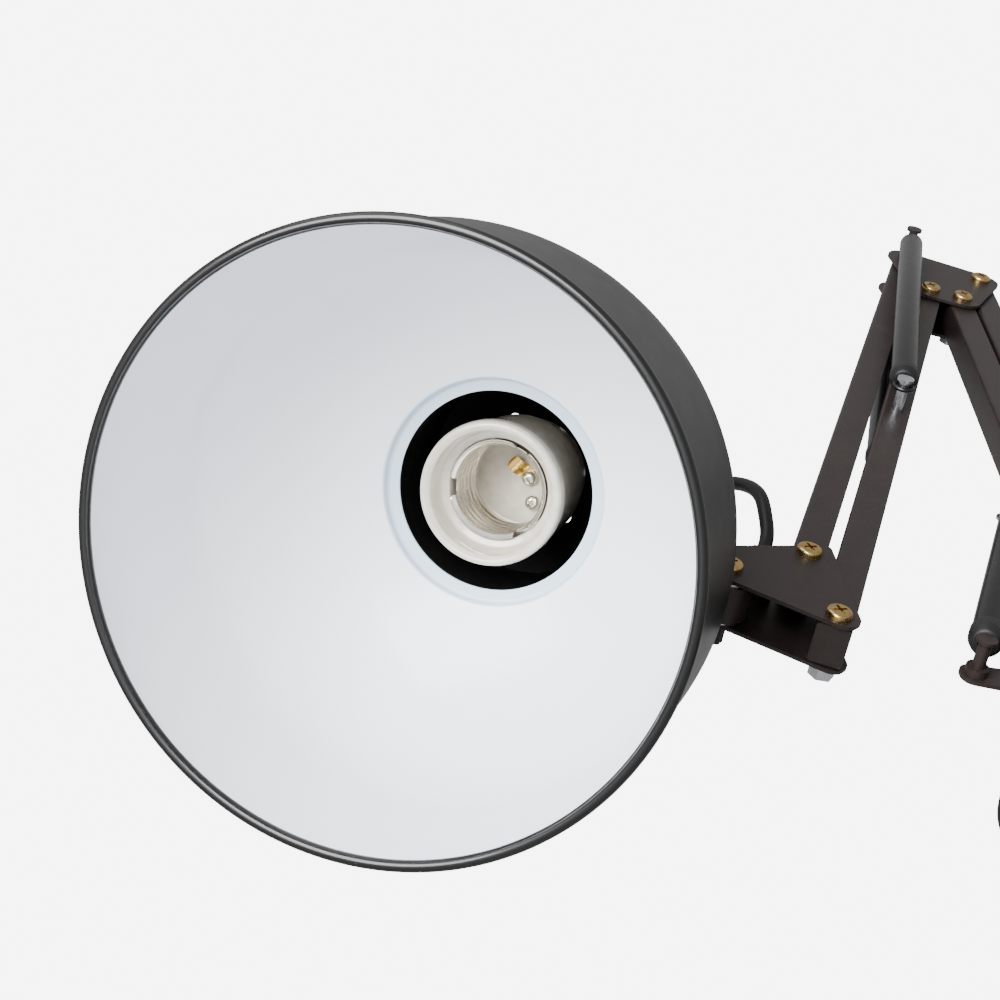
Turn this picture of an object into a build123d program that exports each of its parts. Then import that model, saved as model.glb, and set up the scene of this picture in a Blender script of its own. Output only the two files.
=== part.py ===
"""Swing arm desk lamp: table clamp, two parallelogram arms, sprung, and a tilting, swivelling shade.

Millimetres, +Z up. The origin is on the tabletop under the clamp's upper jaw, on the axis of the
base swivel. The arms lie in the XZ plane, the head reaches towards -X, and -Y is the near side.
"""

from build123d import *
import math
import os

os.makedirs("parts", exist_ok=True)

# ---- driving dimensions -------------------------------------------------------------------------
ARM = 300.0                      # between the pivots of each arm bar
UPPER_LEAN = 16.3                # rest lean of the upper arm from upright, degrees
LOWER_LEAN = 2.6                 # rest lean of the lower arm from upright, degrees
BAR_WIDTH = 10.4                 # arm bar, across in the arm plane
BAR_DEPTH = 13.0                 # arm bar, along Y
BAR_WALL = 1.0                   # arm bar sheet
BAR_END = 4.0                    # bar beyond its pivots
PLATE_IN = 7.0                   # inner face of every bracket plate, from the mid plane
PLATE = 1.2                      # bracket plate sheet
PLATE_OUT = PLATE_IN + PLATE
SCREW_R = 1.95                   # M4 shank
PIVOT_R = 2.0                    # running hole for it
OPEN_PIVOT_R = 2.3               # hole at the pivot where each linkage is opened
SPRING_Y = 16.5                  # spring centre lines, each side of the mid plane
SLEEVE_R = 4.8                   # black sleeve over a spring
CORD_R = 2.25                    # 4.5 mm lead

BASE_FRONT = (-6.8, 58.2)        # pivots as (x, z)
BASE_REAR_OFFSET = (13.6, 26.7)
ELBOW_TOP_OFFSET = (-17.0, 39.0)
HEAD_LINK_OFFSET = (3.9, -35.4)
HEAD_TILT_OFFSET = (-26.5, -17.3)
SPRING_STUD_OFFSET = (-47.0, -4.5)
UPPER_PIN_UP = 165.0             # spring pin along the rear upper bar, from the head
LOWER_PIN_UP = 155.0             # spring pin along the front lower bar, from the base

RIM_CENTRE = Vector(-225.6, -28.8, 32.2)
SHADE_AXIS = Vector(0.349, 0.244, 0.905).normalized()
RIM_R = 84.0                     # inside the rim
SHEET = 0.7                      # shade sheet
SKIRT = 45.0                     # straight skirt depth
DOME = 57.2                      # height of the elliptical dome above the skirt
NECK_R = 31.0                    # hole at the shade's neck
NECK_TOP = 100.0                 # depth of the neck
NECK_LIP_R = 35.0
CUP_R = 34.0                     # socket cup, outside
CUP_TOP = 140.0
CAP_R = 16.0
CAP_TOP = 158.0
HOLDER_R = 22.5                  # glazed lampholder
HOLDER_FRONT = 93.5
SHELL_R = 13.6                   # thread sleeve, inside
SHELL_LENGTH = 23.0

# ---- places worked out from them ----------------------------------------------------------------


def along(start, lean, length):
    """Point a length from start in the arm plane, leaning from +Z towards +X."""
    angle = math.radians(lean)
    return (start[0] + length * math.sin(angle), start[1] + length * math.cos(angle))


def shifted(point, offset):
    return (point[0] + offset[0], point[1] + offset[1])


C0 = BASE_FRONT
D0 = shifted(C0, BASE_REAR_OFFSET)
E3 = along(C0, LOWER_LEAN, ARM)
E4 = shifted(E3, BASE_REAR_OFFSET)
E1 = shifted(E3, ELBOW_TOP_OFFSET)
E2 = shifted(E1, HEAD_LINK_OFFSET)
S1 = along(E1, UPPER_LEAN, -ARM)
S2 = shifted(S1, HEAD_LINK_OFFSET)
S3 = shifted(S1, HEAD_TILT_OFFSET)
P0 = shifted(C0, SPRING_STUD_OFFSET)
UPPER_PIN = along(S2, UPPER_LEAN, UPPER_PIN_UP)
LOWER_PIN = along(C0, LOWER_LEAN, LOWER_PIN_UP)

TILT = Vector(S3[0], 0, S3[1])
CROSSING = RIM_CENTRE + SHADE_AXIS * (-RIM_CENTRE.Y / SHADE_AXIS.Y)  # shade axis in the arm plane
STEM_AXIS = (CROSSING - TILT).normalized()
STEM = Plane(origin=TILT, x_dir=(0, 1, 0), z_dir=STEM_AXIS)
TOWARDS_ARM = (TILT - CROSSING) - SHADE_AXIS * (TILT - CROSSING).dot(SHADE_AXIS)
SHADE = Plane(origin=RIM_CENTRE, x_dir=TOWARDS_ARM.normalized(), z_dir=SHADE_AXIS)

# ---- shared shapes ------------------------------------------------------------------------------


def rod_y(point, radius, y_from, y_to):
    """Round bar along Y through an arm plane point."""
    return Pos(point[0], (y_from + y_to) / 2, point[1]) * Rot(90, 0, 0) * Cylinder(radius, abs(y_to - y_from))


def slab(points, radii, y_low, thickness):
    """Flat plate: a rounded outline in the arm plane, carried along Y."""
    outline = make_face(FilletPolyline(*points, radius=radii, close=True))
    return Pos(0, y_low + thickness, 0) * extrude(Plane.XZ * outline, amount=thickness)


def turned(points):
    """Solid of revolution about local Z from a closed outline of (radius, height) points."""
    face = make_face(Polyline(*[(r, 0, z) for r, z in points], close=True))
    return revolve(face, Axis.Z)


def hexagon_y(point, across_flats, y_from, y_to):
    """Hexagonal nut, before its hole is cut, along Y."""
    prism = extrude(RegularPolygon(across_flats / math.sqrt(3), 6), amount=abs(y_to - y_from))
    return Pos(point[0], max(y_from, y_to), point[1]) * Rot(90, 0, 0) * prism


def channel_bar(start, lean, holes):
    """Folded channel with closed ends, open on its right side; holes are (distance, radius)."""
    length = ARM + 2 * BAR_END
    body = Pos(0, 0, ARM / 2) * Box(BAR_WIDTH, BAR_DEPTH, length)
    body = fillet(body.edges().filter_by(Axis.Z).group_by(Axis.X)[0], 1.2)
    hollow = Box(BAR_WIDTH, BAR_DEPTH - 2 * BAR_WALL, length - 2 * BAR_WALL)
    body -= Pos(BAR_WALL, 0, ARM / 2) * hollow
    for distance, radius in holes:
        body -= Pos(0, 0, distance) * Rot(90, 0, 0) * Cylinder(radius, 2 * BAR_DEPTH)
    return Pos(start[0], 0, start[1]) * Rot(0, lean, 0) * body


def pan_screw(point, y_end):
    """Pan head cross recess screw from the near side, ending at y_end."""
    head_y = -PLATE_OUT
    head = Cylinder(4.0, 2.4)
    head = fillet(head.edges().group_by(Axis.Z)[-1], 1.3)
    for turn in (20, 110):
        head -= Pos(0, 0, 1.0) * Rot(0, 0, turn) * Box(4.4, 0.9, 1.6)
    head = Pos(point[0], head_y - 1.2, point[1]) * Rot(90, 0, 0) * head
    return head + rod_y(point, SCREW_R, head_y - 0.2, y_end)


def lock_nut(point):
    """Hexagon nut and its washer on the far plate."""
    body = hexagon_y(point, 7.0, PLATE_OUT + 0.7, PLATE_OUT + 4.0) + rod_y(point, 4.4, PLATE_OUT, PLATE_OUT + 0.7)
    return body - rod_y(point, PIVOT_R, PLATE_IN, PLATE_OUT + 5)


def export(shape, name):
    """Write one node."""
    solids = shape if isinstance(shape, list) else [shape]
    whole = solids[0] if len(solids) == 1 else Compound(children=[s for part in solids for s in part.solids()])
    export_step(whole, f"parts/{name}.step")


# ---- head: shade, socket and lampholder ---------------------------------------------------------


def shade_wall(grow):
    """The shade's line from rim to neck, moved outwards by grow, as (radius, depth) edges."""
    skirt_r = RIM_R + grow
    lip_r = NECK_LIP_R + grow
    angle = math.acos(lip_r / skirt_r)
    lip = SKIRT + (DOME + grow) * math.sin(angle)
    skirt = Line((skirt_r, 0), (skirt_r, SKIRT))
    dome = EllipticalCenterArc((0, SKIRT), skirt_r, DOME + grow, 0, arc_size=math.degrees(angle))
    neck = Line((lip_r, lip), (lip_r, NECK_TOP + grow))
    ledge = Line((lip_r, NECK_TOP + grow), (NECK_R, NECK_TOP + grow))
    return [skirt, dome, neck, ledge]


def make_shade():
    """Spun shade: straight skirt, domed shoulder and a short stepped neck."""
    ends = [Line((RIM_R, 0), (RIM_R + SHEET, 0)), Line((NECK_R, NECK_TOP), (NECK_R, NECK_TOP + SHEET))]
    outline = make_face(Wire(shade_wall(0.0) + shade_wall(SHEET) + ends))
    return SHADE * revolve(Plane.XZ * outline, Axis.Z)


def make_rim_bead():
    """Rolled bead clipped over the shade's edge."""
    bead = Torus(RIM_R + 1.4, 1.7)
    slot = Cylinder(RIM_R + SHEET + 0.05, 10) - Cylinder(RIM_R - 0.05, 10)
    return SHADE * (bead - Pos(0, 0, 5 - 0.05) * slot)


def make_socket_cup():
    """Black cup behind the neck, tapered to its cap, with a ring of vent holes in the taper."""
    low = NECK_TOP + SHEET
    wall = 0.8
    points = [(CUP_R, low), (CUP_R, CUP_TOP), (CAP_R, CAP_TOP - 4), (CAP_R - wall, CAP_TOP - 4 - 0.4),
              (CUP_R - wall, CUP_TOP - 0.4), (CUP_R - wall, low)]
    cup = turned(points)
    for index in range(6):
        cup -= Rot(0, 0, 60 * index + 41.5) * Pos(19.2, 0, 151.5) * Rot(0, 37.9, 0) * Cylinder(1.7, 6)
    return SHADE * cup


def make_cup_cap():
    """Cap that closes the cup and holds the lampholder's nipple and the switch."""
    points = [(5.15, CAP_TOP - 4), (CAP_R, CAP_TOP - 4), (CAP_R, CAP_TOP - 1), (CAP_R - 1.5, CAP_TOP),
              (5.15, CAP_TOP)]
    return SHADE * turned(points)


def make_lampholder():
    """Glazed ceramic lampholder, deep recess towards the lamp."""
    front = HOLDER_FRONT
    points = [(15.8, front + 10), (18.4, front + 9.2), (19.4, front + 1.2), (20.4, front),
              (HOLDER_R - 0.8, front), (HOLDER_R, front + 1), (HOLDER_R, front + 6), (20.6, front + 9),
              (20.6, 127), (18, 133), (18, 141), (5.15, 141), (5.15, 133.5), (0, 133.5), (0, 130), (15.8, 130)]
    return SHADE * turned(points)


def make_screw_shell():
    """Nickelled thread sleeve with three notches in its front edge."""
    sleeve = Cylinder(SHELL_R + 0.6, SHELL_LENGTH) - Cylinder(SHELL_R, SHELL_LENGTH + 2)
    lip = Pos(0, 0, -SHELL_LENGTH / 2 + 0.3) * (Cylinder(15.6, 0.6) - Cylinder(SHELL_R, 2))
    sleeve += lip
    for turn in (40, 160, 280):
        sleeve -= Pos(0, 0, -SHELL_LENGTH / 2) * Rot(0, 0, turn) * Pos(15, 0, 0) * Box(6, 3.4, 5)
    return SHADE * Pos(0, 0, HOLDER_FRONT + 9 + SHELL_LENGTH / 2) * sleeve


def make_contacts():
    """Centre contact spring and its two terminal screws on the holder's floor."""
    floor = 130 - 0.05
    tongue = Pos(-0.6, -2.3, floor - 0.4) * Rot(0, 0, 25) * Box(12, 5, 0.7)
    tongue += Pos(-3.8, -3.8, floor - 1.7) * Cylinder(2.2, 2.6)
    tongue += Pos(2.6, -0.8, floor - 1.6) * Cylinder(2.4, 2.1)
    screw = Pos(6.0, 6.5, floor - 1.1) * Cylinder(2.4, 2.1)
    return [SHADE * tongue, SHADE * screw]


def make_nipple():
    """Threaded tube that ties lampholder and cap together."""
    length = CAP_TOP + 5 - 133.7
    return SHADE * Pos(0, 0, 133.7 + length / 2) * (Cylinder(5, length) - Cylinder(3.6, 60))


def make_switch_knob():
    """Fluted rotary switch knob on the cap."""
    knob = Cylinder(9.5, 11) - Pos(0, 0, -5.5) * Cylinder(5.05, 10.4)
    knob = fillet(knob.edges().group_by(Axis.Z)[-1], 1.5)
    for index in range(12):
        knob -= Rot(0, 0, 30 * index) * Pos(10.2, 0, 0) * Cylinder(1.2, 14)
    return SHADE * Pos(0, 0, CAP_TOP + 0.4 + 5.5) * knob


def make_cup_boss():
    """Boss on the cup's side that the stem's pin turns in."""
    boss = Pos(0, 0, (BOSS_NEAR + BOSS_FAR) / 2) * Cylinder(7, BOSS_FAR - BOSS_NEAR)
    boss -= Pos(0, 0, BOSS_NEAR + 8) * Cylinder(2.55, 17)
    boss = STEM * boss
    return boss - SHADE * Pos(0, 0, 110) * Cylinder(CUP_R + 0.05, 80)


def make_cord_gland():
    """Tapered strain relief on the cup's shoulder."""
    gland = Pos(0, 0, 2.5) * Cylinder(5, 4) + Pos(0, 0, 8) * Cone(4.4, 3.1, 8)
    gland += Pos(0, 0, 0.2) * Cylinder(3.6, 2.6)
    gland -= Pos(0, 0, 8) * Cylinder(CORD_R, 40)
    return GLAND * gland


BOSS_NEAR = 24.6                 # along the stem from the tilt axis
BOSS_FAR = 52.0
GLAND_SEAT = RIM_CENTRE + SHADE_AXIS * 148.6 + TOWARDS_ARM.normalized() * 27.0
GLAND = Plane(origin=GLAND_SEAT, z_dir=(SHADE_AXIS + TOWARDS_ARM.normalized() * 1.02).normalized())

# ---- head joint ---------------------------------------------------------------------------------


def make_yoke_block():
    """Round tongue between the bracket plates, with the stem to the cup."""
    tongue = rod_y(S3, 9.0, -PLATE_IN + 1.0, PLATE_IN - 1.0)
    stem = STEM * Pos(0, 0, 15.5) * Cylinder(5.0, 17)
    block = tongue + stem
    block -= rod_y(S3, PIVOT_R, -20, 20)
    return block - STEM * Pos(0, 0, 19) * Cylinder(2.5, 11)


def make_swivel_pin():
    """Pin pressed in the stem, turning in the cup's boss."""
    return STEM * Pos(0, 0, (14 + 39) / 2) * Cylinder(2.5, 25)


def make_tilt_washers():
    """Bright washers each side of the tongue."""
    ring = [rod_y(S3, 8.0, y, y + 0.8) - rod_y(S3, PIVOT_R, -20, 20) for y in (-PLATE_IN + 0.1, PLATE_IN - 0.9)]
    return ring


def make_tilt_knob():
    """Small ribbed hand nut on the tilt bolt."""
    knob = rod_y(S3, 3.8, PLATE_OUT + 0.4, PLATE_OUT + 8.4)
    for index in range(10):
        angle = math.radians(36 * index)
        spot = (S3[0] + 4.3 * math.cos(angle), S3[1] + 4.3 * math.sin(angle))
        knob -= rod_y(spot, 0.8, PLATE_OUT, PLATE_OUT + 9)
    return knob - rod_y(S3, PIVOT_R, PLATE_IN, PLATE_OUT + 6.4)


def head_plate(y_low):
    """Triangular head plate with its three screw holes."""
    corners = [(-35.5, -10.5), (-24.5, -3.2), (8.0, 7.5), (10.8, -37.0), (6.5, -42.2), (-31.0, -22.5)]
    points = [shifted(S1, corner) for corner in corners]
    plate = slab(points, [6, 5, 2, 4.5, 4.5, 6], y_low, PLATE)
    for pivot in (S1, S2, S3):
        plate -= rod_y(pivot, PIVOT_R, -20, 20)
    return plate


def make_cord_clamp():
    """Small saddle between the plates that grips the lead."""
    x, z = CLAMP_AT
    body = Pos(x, 0, z) * Box(8, 2 * PLATE_IN, 7)
    return body - Pos(x, 0, z) * Cylinder(CORD_R, 20)


CLAMP_AT = (-107.0, 107.5)

# ---- elbow --------------------------------------------------------------------------------------


def elbow_plate(y_low):
    """Four pivot elbow plate, a rounded hull round its pivots."""
    edge = 7.9
    hull = make_face(Polyline(*[E1, E4, E3, E2], close=True))
    outline = offset(hull, amount=edge, kind=Kind.ARC)
    plate = Pos(0, y_low + PLATE, 0) * extrude(Plane.XZ * outline, amount=PLATE)
    for pivot in (E1, E2, E3, E4):
        plate -= rod_y(pivot, PIVOT_R, -20, 20)
    return plate


def make_elbow_cover():
    """Strip that closes the elbow's top between its plates."""
    run = Vector(E4[0] - E1[0], 0, E4[1] - E1[1])
    place = Plane(origin=(E1[0], 0, E1[1]), x_dir=run.normalized(), z_dir=run.normalized().cross(Vector(0, 1, 0)))
    strip = Pos(run.length / 2, 0, 7.4) * Box(run.length, 2 * PLATE_IN, 0.9)
    return place * strip


def make_spring_bolt():
    """Long bolt at the elbow's top pivot; the upper springs hook on its ends."""
    bolt = rod_y(E1, SCREW_R, -SPRING_Y - 5.2, SPRING_Y + 5.2)
    for side in (-1, 1):
        bolt += rod_y(E1, 3.2, side * (SPRING_Y + 4.0), side * (SPRING_Y + 5.2))
        bolt += rod_y(E1, 3.6, side * (PLATE_OUT + 0.05), side * (PLATE_OUT + 2.6))
    return bolt


# ---- springs ------------------------------------------------------------------------------------


def spring_frame(top, bottom, y):
    """Frame with Z from bottom to top of a spring, x across, and its length."""
    run = Vector(top[0] - bottom[0], 0, top[1] - bottom[1])
    return Plane(origin=(bottom[0], y, bottom[1]), x_dir=(0, 1, 0), z_dir=run.normalized()), run.length


def make_sleeve(top, bottom, y, low_gap, high_gap):
    """Sleeve over a spring, short of its hooks."""
    place, length = spring_frame(top, bottom, y)
    size = length - low_gap - high_gap
    return place * Pos(0, 0, low_gap + size / 2) * (Cylinder(SLEEVE_R, size) - Cylinder(SLEEVE_R - 0.8, size + 2))


def make_spring(top, bottom, y, low_gap, high_gap):
    """Close wound spring body as one tube, with the eye at its fixed end."""
    place, length = spring_frame(top, bottom, y)
    size = length - low_gap - high_gap
    body = Pos(0, 0, low_gap + size / 2) * (Cylinder(SLEEVE_R - 0.9, size) - Cylinder(SLEEVE_R - 2.1, size + 2))
    return place * body


def make_eye(pin, away, y):
    """Wire eye round a pin with a short shank towards the spring."""
    place, length = spring_frame(away, pin, y)
    eye = Rot(0, 90, 0) * Torus(3.3, 0.8)
    shank = Pos(0, 0, 7.2) * Cylinder(0.8, 7.6)
    plug = Pos(0, 0, 12.0) * Cylinder(SLEEVE_R - 2.4, 3.0)
    return place * (eye + shank + plug)


def make_spring_pin(point):
    """Pin across a bar for the spring eyes, headed at both ends."""
    pin = rod_y(point, SCREW_R, -SPRING_Y - 3.4, SPRING_Y + 3.4)
    for side in (-1, 1):
        pin += rod_y(point, 3.0, side * (SPRING_Y + 2.4), side * (SPRING_Y + 3.4))
    return pin


# ---- base ---------------------------------------------------------------------------------------


def base_plate(y_low, with_finger):
    """Base plate: two arm pivots over the swivel block, and a finger for the spring stud."""
    corners = [(-9.5, 32.0), (9.5, 32.0), (17.0, 84.0), (9.0, 95.0), (-1.0, 90.0), (-15.5, 60.0)]
    plate = slab(corners, [3, 3, 8, 7, 7, 6], y_low, PLATE)
    if with_finger:
        finger = [(P0[0] - 4.5, P0[1] - 4.5), (-8.0, 46.0), (-8.0, 60.0), (P0[0] - 4.5, P0[1] + 4.5)]
        plate += slab(finger, [4, 1, 1, 4], y_low, PLATE)
        plate -= rod_y(P0, PIVOT_R, -20, 20)
    for pivot in (C0, D0, BASE_SCREW):
        plate -= rod_y(pivot, PIVOT_R, -20, 20)
    return plate


BASE_SCREW = (0.0, 38.5)
STEM_R = 5.0


def make_base_block():
    """Block between the base plates with the turned stem below it."""
    block = Pos(0, 0, 41) * Box(17, 2 * PLATE_IN, 18)
    block -= rod_y(BASE_SCREW, PIVOT_R, -20, 20)
    block += Pos(0, 0, (32 + 10) / 2) * Cylinder(STEM_R, 32 - 10)
    block += Pos(0, 0, 31.15) * Cylinder(8.5, 1.7)
    return block - Pos(0, 0, THUMB_Z) * (Cylinder(STEM_R + 1, 4.6) - Cylinder(STEM_R - 0.8, 5))


def make_spring_stud():
    """Headed stud on the near plate's finger."""
    stud = rod_y(P0, SCREW_R, -SPRING_Y - 3.4, -PLATE_IN + 0.6)
    stud += rod_y(P0, 3.0, -SPRING_Y - 3.4, -SPRING_Y - 2.4)
    return stud + rod_y(P0, 3.4, -PLATE_OUT - 2.5, -PLATE_OUT - 0.05)


# ---- table clamp --------------------------------------------------------------------------------

JAW_REACH = 40.0                 # jaw in front of the spine
SPINE_X = -26.0                  # inner face of the spine
JAW_THICK = 8.0
THROAT = 62.0                    # opening below the upper jaw
LOWER_THICK = 14.0
CLAMP_W = 30.0
SCREW_X = 6.0
SCREW_LEAD_R = 5.0
PAD_TOP = -32.0                  # the tabletop's underside at rest
THUMB_Z = 26.3


def make_clamp_body():
    """Cast C body: upper jaw, spine, lower arm and the boss for the stem."""
    spine_t = 9.0
    points = [(SPINE_X - spine_t, JAW_THICK), (JAW_REACH, JAW_THICK), (JAW_REACH, 0), (SPINE_X, 0),
              (SPINE_X, -THROAT), (SCREW_X + 14, -THROAT), (SCREW_X + 14, -THROAT - LOWER_THICK),
              (SPINE_X - spine_t, -THROAT - LOWER_THICK)]
    body = slab(points, [6, 3, 1.5, 4, 5, 4, 5, 9], -CLAMP_W / 2, CLAMP_W)
    body += Pos(0, 0, 18.5) * Cylinder(10.0, 22)
    body -= Pos(0, 0, 20) * Cylinder(STEM_R + 0.05, 22)
    body -= Pos(SCREW_X, 0, -THROAT - LOWER_THICK / 2) * Cylinder(SCREW_LEAD_R + 0.06, LOWER_THICK + 4)
    return body - Pos(0, -10, THUMB_Z) * Rot(90, 0, 0) * Cylinder(2.05, 12)


def make_clamp_screw():
    """Lead screw with a cross hole in its head for the tommy bar."""
    top = PAD_TOP - 7.0
    bottom = -THROAT - LOWER_THICK - 26.0
    shaft = Pos(0, 0, (top + bottom) / 2) * Cylinder(SCREW_LEAD_R, top - bottom)
    head = Pos(0, 0, bottom - 6) * Cylinder(7.0, 14)
    shaft += fillet(head.edges().filter_by(GeomType.CIRCLE), 1.2)
    shaft += Pos(0, 0, top + 1.5) * Cylinder(3.2, 3.4)
    shaft -= Pos(0, 0, bottom - 6) * Rot(0, 90, 0) * Cylinder(2.6, 30)
    return Pos(SCREW_X, 0, 0) * shaft


def make_tommy_bar():
    """Sliding bar with swaged ends."""
    bar = Cylinder(2.5, 56) + Pos(0, 0, 26.5) * Cylinder(3.4, 3) + Pos(0, 0, -26.5) * Cylinder(3.4, 3)
    return Pos(SCREW_X, 0, -THROAT - LOWER_THICK - 32.0) * Rot(0, 90, 0) * bar


def make_clamp_pad():
    """Swivelling pressure pad on the screw's tip."""
    pad = turned([(0, PAD_TOP), (15, PAD_TOP), (15, PAD_TOP - 3), (8.5, PAD_TOP - 6.8), (3.3, PAD_TOP - 6.8),
                  (3.3, PAD_TOP - 3.4), (0, PAD_TOP - 3.4)])
    return Pos(SCREW_X, 0, 0) * pad


def make_thumb_screw():
    """Knurled screw that locks the swivel stem."""
    screw = rod_y((0, THUMB_Z), 2.0, -17.0, -5.2)
    head = rod_y((0, THUMB_Z), 4.0, -21.5, -14.5)
    for index in range(12):
        angle = math.radians(30 * index)
        head -= rod_y((4.4 * math.cos(angle), THUMB_Z + 4.4 * math.sin(angle)), 0.75, -22, -14)
    return screw + head


# ---- leads --------------------------------------------------------------------------------------

CORD_START = GLAND_SEAT + GLAND.z_dir * 6.6
CORD_BEND = GLAND_SEAT + GLAND.z_dir * 16.6
CORD_MIDDLE = (-122.25, 6.3, 167.2)
CORD_A = [CORD_START, CORD_BEND, (-126.5, 9.2, 167.0), CORD_MIDDLE]
CORD_B = [CORD_MIDDLE, (-118.0, 3.4, 167.4), (-112.4, -1.5, 161.8), (-107.8, -6.0, 153.1),
          (-105.1, -8.0, 143.8), (-104.2, -5.9, 134.8), (-103.4, -2.2, 126.8), (-105.6, 0.6, 119.4),
          (-107.0, 0.0, 111.1)]
LEAD = [(19.7, 0.0, 39.1), (28.9, 0.0, 32.2), (35.1, 5.6, 24.3), (36.6, 15.1, 17.9), (31.6, 25.3, 15.0),
        (22.0, 32.7, 13.2), (10.1, 35.6, 12.0), (-1.8, 34.0, 11.0), (-11.6, 28.7, 10.4)]
RELIEF_SEAT = (8.5, 0.0, 47.5)
RELIEF_DIR = (0.8, 0.0, -0.6)
COIL_R = 27.0                    # middle of the coil's turns
COIL_LOW = 8.0
COIL_HIGH = 22.0
COIL_HALF = 7.0
TIE_AT = -50.0                   # azimuth of the tie
PLUG_TURN = 215.0                # azimuth of the plug


def cord_tube(route, name):
    """Round cord along straight runs joined by the largest arcs that they allow."""
    points = [Vector(*point) for point in route]
    runs = [(b - a).length for a, b in zip(points, points[1:])]
    radii = []
    for index in range(1, len(points) - 1):
        turn = (points[index] - points[index - 1]).get_angle(points[index + 1] - points[index])
        radii.append(0.45 * min(runs[index - 1], runs[index]) / math.tan(math.radians(turn / 2)))
    path = FilletPolyline(*points, radius=radii)
    start = Plane(origin=points[0], z_dir=points[1] - points[0])
    tube = sweep(start * Circle(CORD_R), path=path)
    share = tube.volume / (math.pi * CORD_R**2 * path.length)
    print(name, "length", round(path.length, 1), "radii", [round(r, 1) for r in radii], "volume", round(share, 4))
    return tube


def make_coil(lead, tail):
    """Outer shape of the wound lead, a rounded ring on the clamp's jaw, that both free ends run into."""
    points = [(COIL_R - COIL_HALF, COIL_LOW), (COIL_R + COIL_HALF, COIL_LOW), (COIL_R + COIL_HALF, COIL_HIGH),
              (COIL_R - COIL_HALF, COIL_HIGH)]
    ring = turned(points)
    ring = fillet(ring.edges().filter_by(GeomType.CIRCLE), 3.0)
    return ring - make_tie_block(0.0) - lead - tail


def make_tie_block(grow):
    """Block the size of the tie round one side of the coil."""
    height = COIL_HIGH - COIL_LOW
    block = Pos(COIL_R, 0, (COIL_HIGH + COIL_LOW) / 2) * Box(2 * COIL_HALF + 2, 10 + grow, height + 2)
    ring = Pos(0, 0, (COIL_HIGH + COIL_LOW) / 2) * (
        Cylinder(COIL_R + COIL_HALF + grow / 2, height + grow) - Cylinder(COIL_R - COIL_HALF - grow / 2, height + 9)
    )
    return Rot(0, 0, TIE_AT) * (block & ring)


def make_tie():
    """Hook and loop tie round the coil, filled by the turns that it holds."""
    return make_tie_block(-0.1)


def make_lead_gland():
    """Tapered strain relief where the lead leaves the base block."""
    relief = Pos(0, 0, 7.5) * Cone(4.2, 3.0, 25)
    relief = Plane(origin=RELIEF_SEAT, z_dir=RELIEF_DIR) * (relief - Pos(0, 0, 10) * Cylinder(CORD_R, 30))
    return relief - Pos(-1.5, 0, 44) * Box(20, 20, 30)


PLUG_AT = Rot(0, 0, PLUG_TURN) * Pos(31.0, 0, COIL_HIGH + 6.8) * Rot(0, 0, -90)
TAIL = [(-35.85, -2.9, 28.8), (-43.0, 7.3, 28.8), (-43.0, 20.1, 28.8), (-35.7, 30.6, 28.2),
        (-23.8, 35.4, 26.4), (-11.0, 35.8, 24.0), (1.5, 32.8, 21.4), (13.0, 27.3, 19.2)]


def make_plug_body(tail):
    """Flat two pin plug lying on the coil, with a moulded sleeve round its lead."""
    body = Box(30, 30, 13.6)
    body = fillet(body.edges().filter_by(Axis.X), 5.0)
    body -= Pos(15, 15, 0) * Rot(0, 0, 30) * Box(30, 12, 20) + Pos(15, -15, 0) * Rot(0, 0, -30) * Box(30, 12, 20)
    sleeve = Pos(19.9, 0, 0) * Rot(0, 90, 0) * Cone(4.6, 3.0, 10)
    return PLUG_AT * (body + sleeve) - tail


def make_plug_pins():
    """Two round pins."""
    return [PLUG_AT * Pos(-24.5, y, 0) * Rot(0, 90, 0) * Cylinder(2.0, 19.0) for y in (-9.3, 9.3)]


# ---- write every node ---------------------------------------------------------------------------

export(make_shade(), "shade")
export(make_rim_bead(), "rim_bead")
export(make_socket_cup(), "socket_cup")
export(make_cup_cap(), "cup_cap")
export(make_lampholder(), "lampholder")
export(make_screw_shell(), "screw_shell")
export(make_contacts(), "holder_contacts")
export(make_nipple(), "holder_nipple")
export(make_switch_knob(), "switch_knob")
export(make_cup_boss(), "cup_boss")
export(make_cord_gland(), "cord_gland")
export(make_yoke_block(), "yoke_block")
export(make_swivel_pin(), "swivel_pin")
export(make_tilt_washers(), "tilt_washers")
export(make_tilt_knob(), "tilt_knob")
export(head_plate(-PLATE_OUT), "head_plate_near")
export(head_plate(PLATE_IN), "head_plate_far")
export([pan_screw(p, PLATE_OUT + 4.6) for p in (S1, S2)] + [pan_screw(S3, PLATE_OUT + 6.2)], "head_screws")
export([lock_nut(p) for p in (S1, S2)], "head_nuts")
export(make_cord_clamp(), "cord_clamp")

export(channel_bar(S1, UPPER_LEAN, [(0, PIVOT_R), (ARM, PIVOT_R)]), "upper_bar_front")
rear_holes = [(0, OPEN_PIVOT_R), (ARM, PIVOT_R), (UPPER_PIN_UP, SCREW_R)]
export(channel_bar(S2, UPPER_LEAN, rear_holes), "upper_bar_rear")
export(make_spring_pin(UPPER_PIN), "upper_spring_pin")

export(elbow_plate(-PLATE_OUT), "elbow_plate_near")
export(elbow_plate(PLATE_IN), "elbow_plate_far")
export([pan_screw(p, PLATE_OUT + 4.6) for p in (E2, E3, E4)], "elbow_screws")
export([lock_nut(p) for p in (E2, E3, E4)], "elbow_nuts")
export(make_spring_bolt(), "elbow_spring_bolt")
export(make_elbow_cover(), "elbow_cover")

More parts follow.
